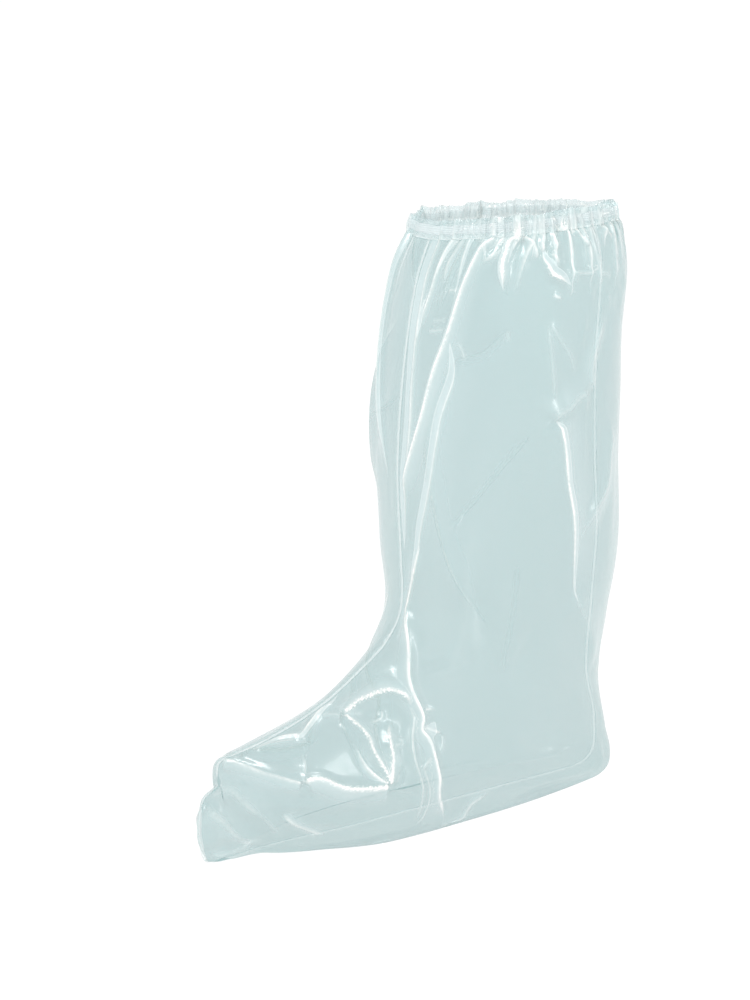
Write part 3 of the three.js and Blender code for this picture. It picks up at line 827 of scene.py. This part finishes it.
# %% [markdown]
# ## The hem and its elastic
#
# The top of the film is folded inwards over an elastic and welded to itself, so the hem is a
# flat channel. A thick tube would look like a hose. So its section is a flat closed loop with an
# outer and an inner wall, swept round the gathered top edge of the film, so that the long pleats
# run on into it. The elastic gathers it, and it crumples into small facets that lean both ways,
# more and more towards its top edge.

# %% Hem section
HEM_COLUMNS = 520
HEM_TOP_MM = 14.6
OUTER_WALL_MM = ([-0.8, 0.4, 1.2, 4, 7, 10, 14.3], [0, 0.35, 0.1, 0.6, 0.8, 0.45, 0])
INNER_WALL_MM = ([-0.7, 0.2, 3, 6, 8.5, 11, 14], [-0.35, -0.6, -1.5, -2, -1.9, -1.4, -0.7])
CREST_OUT_MM = -0.35
OUTER_ROWS = 26
INNER_ROWS = 14


def hem_section():
    """The hem's section as a closed loop of places outwards and upwards, in millimetres."""
    up = np.linspace(OUTER_WALL_MM[0][0], OUTER_WALL_MM[0][-1], OUTER_ROWS)
    down = np.linspace(INNER_WALL_MM[0][-1], INNER_WALL_MM[0][0], INNER_ROWS)
    rising = np.stack([np.interp(up, *OUTER_WALL_MM), up], axis=1)
    falling = np.stack([np.interp(down, *INNER_WALL_MM), down], axis=1)
    return np.concatenate([rising, [(CREST_OUT_MM, HEM_TOP_MM)], falling])


def cuff_edge():
    """The gathered top edge of both panels as one loop: points, outward direction, share of the
    way round, crease strength and crease distance."""
    around = (np.arange(HEM_COLUMNS) + 0.5) / HEM_COLUMNS
    halves = []
    for side, share in ((1, around), (-1, around[::-1])):
        points, values = film(np.zeros(HEM_COLUMNS), share, side)
        normals = form_normals(np.zeros(HEM_COLUMNS), share, side)
        normals[:, 2] = 0
        halves.append((points, unit(normals), share, values["crease"], values["crease_at"]))
    return [np.concatenate(pair) for pair in zip(*halves)]


print("places in the hem's section:", len(hem_section()))

# %% Crumple
LEAN, LEAN_VARIES, OTHER_LEAN, FINE_LEAN = 0.08, 0.07, 0.06, 0.12  # cells for each mm upwards
TALL_MM, OTHER_TALL_MM, FINE_TALL_MM = 17, 13, 6
EDGE_SCALE = 7  # turns the noise next to an edge into a distance


def crumple(cell, up, seed):
    """Two noises lean opposite ways, and where one of them changes sign two facets meet in a
    sharp edge. Gives their height and the distance from the nearest edge, which is less than 0
    on one side."""
    lean = value_noise(cell / 8, up * 0, seed + 7)
    one = value_noise(cell + up * (LEAN + LEAN_VARIES * lean), up / TALL_MM + 9, seed)
    other = value_noise(cell - up * OTHER_LEAN, up / OTHER_TALL_MM + 5, seed + 1)
    fine = value_noise(cell * 2 + up * FINE_LEAN, up / FINE_TALL_MM, seed + 2)
    height = 1.3 * (np.abs(other) - np.abs(one)) + 0.15 * fine
    edge = np.where(np.abs(one) < np.abs(other), one, other)
    return height, edge * EDGE_SCALE


crumpled = crumple(np.linspace(0, 30, 500), 10, 41)[0]
print("heights of the crumple:", crumpled.min().round(2), "to", crumpled.max().round(2))

# %% Hem
HEM_CELLS = 64  # cells of noise round the hem, each about as wide as a facet
HEM_LEAN = 0.22  # how far it leans inwards for each millimetre upwards
OUTER_WALL_SEED, INNER_WALL_SEED = 41, 61
INNER_OUT_MM, INNER_UP_MM = -0.55, 11  # further in and lower than this is the inner wall
PUSH_LOW_MM, PUSH_TOP_MM = 0.3, 1.3  # how far facets stand out low down, and how much more on top
INNER_PUSH_MM = 0.4  # the inner wall is pushed inwards only, away from the elastic
SCALLOP_MM, SCALLOP_CELLS = 1.3, 2  # the top edge waves up and down
CRUMPLE_SCALLOP_MM = 0.25  # and follows the facets a little
GLINT, GLINT_VARIES, GLINT_TALL_MM = 0.55, 0.8, 5
RUN_ON_LOST = 0.5  # the share of a crease that is gone at the top of the hem
GLINT_SEED, GLINT_UP_SEED, SCALLOP_SEED = 47, 49, 53
WELD_UP_MM, WELD_BAND_MM, WELD_LINE_MM, WELD_WHITE = 0.5, 0.8, 0.6, 0.55


def make_hem():
    """The hem as one closed mesh. At each point the strongest of three lines is stored: an edge
    between facets, which is painted white as a glint, a crease that runs on from the film, and the
    weld along the hem's foot."""
    edge, out, share, crease, crease_at = cuff_edge()
    step = np.linalg.norm(np.diff(edge, axis=0, append=edge[:1]), axis=1)
    travelled = np.concatenate([[0], np.cumsum(step)[:-1]])
    cell = travelled / step.sum() * HEM_CELLS
    calm = calmer_at_front(share, least=0.35, start=0, width=0.3)
    # painted glints: the material draws the edges between facets as white lines, calmer in front
    glint = np.clip(GLINT + GLINT_VARIES * value_noise(cell, cell * 0, GLINT_SEED), 0, 1) * calm
    wave = SCALLOP_MM * value_noise(cell / SCALLOP_CELLS, cell * 0, SCALLOP_SEED)
    rings, strength, distance = [], [], []
    for outwards, up in hem_section():
        rising = np.clip(up / HEM_TOP_MM, 0, 1)
        inner_wall = outwards < INNER_OUT_MM and up < INNER_UP_MM
        height, edge_at = crumple(cell, up, INNER_WALL_SEED if inner_wall else OUTER_WALL_SEED)
        push = (PUSH_LOW_MM + PUSH_TOP_MM * rising ** 1.5) * height * calm
        if inner_wall:
            push = np.minimum(INNER_PUSH_MM * height - INNER_PUSH_MM, 0)
        ring = edge + out * ((outwards + (push - HEM_LEAN * up)) * MM)[:, None]
        scallop = CRUMPLE_SCALLOP_MM * height + wave
        ring[:, 2] += (up + scallop * calm * rising ** 3) * MM
        rings.append(ring)
        own = glint * (0.5 + 0.5 * value_noise(cell, up / GLINT_TALL_MM + cell * 0, GLINT_UP_SEED))
        run_on = crease * (1 - RUN_ON_LOST * rising)
        in_weld = WELD_WHITE * math.exp(-((up - WELD_UP_MM) / WELD_BAND_MM) ** 2)
        weld_at = (up - WELD_UP_MM) / WELD_LINE_MM
        strengths = [own, run_on, np.full_like(own, in_weld)]
        distances = [edge_at, crease_at, np.full_like(own, weld_at)]
        strongest = np.argmax(strengths, axis=0)
        strength.append(np.choose(strongest, strengths))
        distance.append(np.choose(strongest, distances))
    points, crease, crease_at = (np.stack(part, axis=1) for part in (rings, strength, distance))
    values = {
        "crease": crease, "crease_at": crease_at, "inside": np.full_like(crease, FAR_MM),
        "worked": np.ones_like(crease), "painted_sheen": np.zeros_like(crease),
    }
    return grid_mesh("cuff_channel", points, closed_u=True, closed_v=True, values=values)


cuff_channel = make_hem()

# %% Elastic
ELASTIC_SECTION_MM = [
    (-0.2, 4.2), (-0.2, 9.8), (-0.45, 10.1), (-0.95, 10.1), (-1.2, 9.8),
    (-1.2, 4.2), (-0.95, 3.9), (-0.45, 3.9),
]


def make_elastic():
    """The band: its section, outwards and upwards, follows the same edge and leans with the hem."""
    edge, out = cuff_edge()[:2]
    rings = []
    for outwards, up in ELASTIC_SECTION_MM:
        ring = edge + out * ((outwards - HEM_LEAN * up) * MM)
        ring[:, 2] += up * MM
        rings.append(ring)
    return grid_mesh("elastic", np.stack(rings, axis=1), closed_u=True, closed_v=True)


elastic = make_elastic()

# %% [markdown]
# ## Shader arithmetic
#
# A material is a graph of nodes, and a formula is easier to read than a graph. This small class
# wraps one socket, so that sums and products of sockets can be written as Python expressions.
# `node` makes any other node.

# %% Shader helper
class Signal:
    """A socket of a node tree that can be added, multiplied and fed to other nodes."""

    def __init__(self, tree, socket=None):
        self.tree, self.socket = tree, socket

    def feed(self, socket, value):
        """Links a Signal to a socket, or sets the socket to a plain value."""
        if isinstance(value, Signal):
            self.tree.links.new(value.socket, socket)
        else:
            socket.default_value = value

    def node(self, kind, settings=None, sockets=None, output=0):
        """A new node: its settings first, then its sockets by name or place."""
        made = self.tree.nodes.new(kind)
        for name, value in (settings or {}).items():
            setattr(made, name, value)
        for name, value in (sockets or {}).items():
            self.feed(made.inputs[name], value)
        return Signal(self.tree, made.outputs[output])

    def maths(self, operation, first, second=0.0, clamp=False):
        settings = {"operation": operation, "use_clamp": clamp}
        return self.node("ShaderNodeMath", settings, {0: first, 1: second})

    def __add__(self, other):
        return self.maths("ADD", self, other)

    __radd__ = __add__

    def __mul__(self, other):
        return self.maths("MULTIPLY", self, other)

    __rmul__ = __mul__

    def __sub__(self, other):
        return self.maths("SUBTRACT", self, other)

    def __rsub__(self, other):
        return self.maths("SUBTRACT", other, self)

    def clamped(self):
        """This value, held between 0 and 1."""
        return self.maths("ADD", self, clamp=True)

    def line(self):
        """1 where this value is 0, and quickly down to 0 on both sides."""
        return self.maths("EXPONENT", self * self * -1.0)

    def mix(self, low, high):
        """A colour between low and high, by this value."""
        return self.node("ShaderNodeMix", {"data_type": "RGBA"}, {0: self, 6: low, 7: high}, output=2)

    def noise(self, place, scale, detail):
        """Smooth noise from 0 to 1, finer with a larger scale."""
        sockets = {"Vector": place, "Scale": scale, "Detail": detail}
        return self.node("ShaderNodeTexNoise", sockets=sockets)

    def stored(self, name):
        """A number that was stored on the mesh's points."""
        return self.node("ShaderNodeAttribute", {"attribute_name": name}, output="Fac")


def new_material(name):
    """A material with one Principled node, and a Signal to build the rest with."""
    material = bpy.data.materials.new(name)
    material.use_nodes = True
    tree = material.node_tree
    return material, Signal(tree), tree.nodes["Principled BSDF"]


print("operators of a signal: + - *, and", ", ".join(n for n in vars(Signal) if n[0] != "_"))

# %% [markdown]
# ## Film finish
#
# Polythene film is clear but milky: it lets more than half of the light straight through and
# scatters the rest with a pale aqua tint. It doesn't bend the light that passes, so its clearness
# is Alpha and not Transmission, which would also take far longer in so many layers. Where it is
# creased it turns white and lets less through; that white is partly the real whitening of
# stretched film and partly a painted highlight. Where it lies double it lets a little less through.
# Both faces of the film shine, so it reflects about twice as much as one surface. Slow waves from
# the rollers run through it, and near a crease it is finely crinkled, which breaks a highlight into
# glints. Where a crease is strong, noise also paints glints onto it.
#
# A crease is drawn as a sharp line inside a fainter and wider one. Noise makes its width and its
# whiteness drift, because an even line would look painted on. In the hem, light passes two walls
# where it passes one in a panel, so each wall of the hem hides less.

# %% Film material
AQUA = (0.21, 0.415, 0.43, 1)
PALE_AQUA = (0.28, 0.475, 0.475, 1)
# milky aqua of doubled film, also the painted sheen on the gentle side of a fold
DOUBLED_AND_SHEEN_AQUA = (0.54, 0.7, 0.715, 1)
# white of stretched film in a crease, which also stands for a painted highlight
CREASE_WHITE_AND_HIGHLIGHT = (0.97, 0.96, 0.93, 1)
HAZE_SCALE, WAVE_SCALE, DRIFT_SCALE, CRINKLE_SCALE, GRIT_SCALE = 16.0, 60.0, 80.0, 420.0, 650.0
ALONG_THE_LEG = (1, 1, 0.3)  # haze and waves are drawn out downwards
FAINT_LINE = 0.35  # the sharp line is this much of the faint one's width
FAINT_SHARE = 0.2
FILM_BUMP = 0.6


def film_material(name, hides, crease_hides, crinkled):
    """Film that hides a share of what is behind it, more of it in a crease, and is crinkled."""
    material, wire, principled = new_material(name)
    place = wire.node("ShaderNodeTexCoord", output="Object")
    tall = wire.node("ShaderNodeMapping", sockets={"Vector": place, "Scale": ALONG_THE_LEG})
    haze, wave = wire.noise(tall, HAZE_SCALE, 4.0), wire.noise(tall, WAVE_SCALE, 2.0)
    drift, crinkle = wire.noise(place, DRIFT_SCALE, 2.0), wire.noise(place, CRINKLE_SCALE, 2.0)
    grit = wire.noise(place, GRIT_SCALE, 1.0)
    crease, inside = wire.stored("crease"), wire.stored("inside")
    # white lines along the creases and the strip edges, part stretched film, part painted highlight
    crease_at = wire.stored("crease_at") * (drift + 0.6)
    faint = (crease_at * FAINT_LINE).line()
    line = (crease_at.line() * (1 - FAINT_SHARE) + faint * FAINT_SHARE) * crease
    # painted glints: specks of noise along the strongest creases
    painted_glints = (crease * 3.0 - 2.0).clamped() * ((grit - 0.52) * 9.0).clamped()
    strip_edge = (inside * 1.7).line() * drift * 0.45
    white = (line * (drift * 1.1 + crinkle * 0.6) + painted_glints * 0.8 + strip_edge).clamped()
    # milkier where the film lies double, and a painted sheen on the gentle side of a crease
    milky = ((inside * 1.6 + 0.5).clamped() + wire.stored("painted_sheen") * 0.9).clamped()
    film_colour = (haze * 1.6 - 0.3).clamped().mix(AQUA, PALE_AQUA)
    film_colour = milky.mix(film_colour, DOUBLED_AND_SHEEN_AQUA)
    wire.feed(principled.inputs["Base Color"], white.mix(film_colour, CREASE_WHITE_AND_HIGHLIGHT))
    alpha = (haze - 0.5) * 0.14 + white * crease_hides + milky * 0.1 + hides
    wire.feed(principled.inputs["Alpha"], alpha.clamped())
    wire.feed(principled.inputs["Roughness"], haze * 0.14 + 0.14)
    height = wave * 1.2 + crinkle * wire.stored("worked") * crinkled
    bump = wire.node("ShaderNodeBump", sockets={
        "Height": height, "Strength": FILM_BUMP, "Distance": MM,
    })
    wire.feed(principled.inputs["Normal"], bump)
    principled.inputs["IOR"].default_value = 1.5
    principled.inputs["Specular IOR Level"].default_value = 1.0
    principled.inputs["Coat Weight"].default_value = 0.3
    principled.inputs["Coat Roughness"].default_value = 0.06
    print(name, "has", len(material.node_tree.nodes), "nodes")
    return material


film_finish = film_material("film", hides=0.42, crease_hides=0.45, crinkled=0.45)
hem_finish = film_material("hem_film", hides=0.17, crease_hides=0.6, crinkled=0.5)
for piece in (outer_film, inner_film):
    piece.data.materials.append(film_finish)
cuff_channel.data.materials.append(hem_finish)

# %% [markdown]
# ## Weld and elastic finish
#
# Molten film runs into small beads that are clearer or whiter by turns. The elastic is a white
# band with fine ribs across it, and it only shows as a paler stripe inside the hem.

# %% Weld and elastic materials
CLEAR_BEAD, WHITE_BEAD = (0.6, 0.78, 0.78, 1), (0.85, 0.93, 0.93, 1)
RIB_SHADE, RIB_WHITE = (0.86, 0.9, 0.92, 1), (0.97, 0.98, 0.98, 1)
BEAD_SCALE = 420.0
RIB_SCALE = 200.0


def weld_material():
    """Beads that vary in colour, clearness, gloss and height."""
    material, wire, principled = new_material("weld")
    place = wire.node("ShaderNodeTexCoord", output="Object")
    beads = wire.noise(place, BEAD_SCALE, 2.0)
    wire.feed(principled.inputs["Base Color"], beads.mix(CLEAR_BEAD, WHITE_BEAD))
    wire.feed(principled.inputs["Alpha"], beads * 0.2 + 0.12)
    wire.feed(principled.inputs["Roughness"], beads * 0.2 + 0.15)
    bump = wire.node("ShaderNodeBump", sockets={
        "Height": beads, "Strength": 0.6, "Distance": 0.6 * MM,
    })
    wire.feed(principled.inputs["Normal"], bump)
    principled.inputs["Specular IOR Level"].default_value = 0.9
    return material


def elastic_material():
    """White ribs that run round the band."""
    material, wire, principled = new_material("elastic")
    place = wire.node("ShaderNodeTexCoord", output="Object")
    ribs = wire.node("ShaderNodeTexWave", {"bands_direction": "Z"}, {
        "Vector": place, "Scale": RIB_SCALE, "Distortion": 1.5, "Detail": 1.0,
    }, output="Fac")
    wire.feed(principled.inputs["Base Color"], ribs.mix(RIB_SHADE, RIB_WHITE))
    wire.feed(principled.inputs["Alpha"], ribs * 0.15 + 0.45)
    wire.feed(principled.inputs["Roughness"], ribs * 0.2 + 0.35)
    bump = wire.node("ShaderNodeBump", sockets={
        "Height": ribs, "Strength": 0.4, "Distance": 0.4 * MM,
    })
    wire.feed(principled.inputs["Normal"], bump)
    return material


edge_bead.data.materials.append(weld_material())
elastic.data.materials.append(elastic_material())
for piece in (outer_film, inner_film, cuff_channel, edge_bead, elastic):
    print(piece.name, "is finished with", piece.active_material.name)

# %% [markdown]
# ## Floor, light and air
#
# Clear film has hardly a colour of its own, so it is shown as a studio would: on white, in soft
# light from all round, with three bright lamps whose reflections draw the creases. A backdrop
# behind the cover would be missing in other views. So the floor is a wide glowing disc that
# curves up far off, like a bowl, and no horizon shows from any side.

# %% Floor
# radius and height in metres
FLOOR_PROFILE = [(0.001, 0), (2, 0), (8, 0), (14, 0), (19, 1), (22, 3), (24, 7)]
FLOOR_SIDES = 64
FLOOR_GAP = 0.0012  # keeps the floor clear of the sole
FLOOR_GLOW = 0.97
FLOOR_GREY = (0.08, 0.08, 0.08, 1)


def make_floor():
    """Rings of the profile joined to a disc."""
    turn = np.linspace(0, 2 * np.pi, FLOOR_SIDES, endpoint=False)
    rings = []
    for radius, height in FLOOR_PROFILE:
        z = np.full(FLOOR_SIDES, height - HEIGHT - FLOOR_GAP)
        rings.append(np.stack([radius * np.cos(turn), radius * np.sin(turn), z], axis=1))
    floor = grid_mesh("floor", np.stack(rings), closed_v=True)
    material, _, principled = new_material("floor")
    principled.inputs["Base Color"].default_value = FLOOR_GREY
    principled.inputs["Roughness"].default_value = 0.8
    principled.inputs["Specular IOR Level"].default_value = 0.1
    principled.inputs["Emission Color"].default_value = (1, 1, 1, 1)
    principled.inputs["Emission Strength"].default_value = FLOOR_GLOW
    floor.data.materials.append(material)


make_floor()

# %% Light
LAMP_DISTANCE = 2
AIR_STRENGTH = 0.55
FILM_LAYERS = 32  # how many layers of clear film light may pass through


def make_light(name, azimuth, elevation, size, watts):
    """A soft box that points at the cover, at angles in degrees."""
    data = bpy.data.lights.new(name, "AREA")
    data.shape = "RECTANGLE"
    data.size, data.size_y = size
    data.energy = watts
    lamp = bpy.data.objects.new(name, data)
    bpy.context.scene.collection.objects.link(lamp)
    way = direction(math.radians(azimuth), math.radians(elevation))
    lamp.location = AIM + way * LAMP_DISTANCE
    lamp.rotation_mode = "QUATERNION"
    lamp.rotation_quaternion = (AIM - lamp.location).to_track_quat("-Z", "Y")
    print(name, "lamp at", tuple(round(v, 2) for v in lamp.location))


make_light("key", azimuth=25, elevation=50, size=(0.7, 0.7), watts=20)
make_light("side", azimuth=112, elevation=25, size=(0.25, 1.3), watts=9)
make_light("back", azimuth=220, elevation=35, size=(0.5, 0.5), watts=8)

world = bpy.data.worlds.new("studio")
bpy.context.scene.world = world
world.use_nodes = True
air = world.node_tree.nodes["Background"]
air.inputs["Color"].default_value = (1, 1, 1, 1)
air.inputs["Strength"].default_value = AIR_STRENGTH
bpy.context.scene.view_settings.view_transform = "Standard"
bpy.context.scene.cycles.transparent_max_bounces = FILM_LAYERS

# %% [markdown]
# ## What stands for what
#
# Each piece replaces the solid that it dresses and rides on the one body of the frame.

PIECES = [
    (outer_film, "outer_panel", "film"),
    (inner_film, "inner_panel", "film"),
    (edge_bead, "edge_weld", "weld"),
    (cuff_channel, "cuff_hem", "hem_film"),
    (elastic, "elastic_band", "elastic"),
]
for piece, node, slot in PIECES:
    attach(piece, "root")
    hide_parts(node)
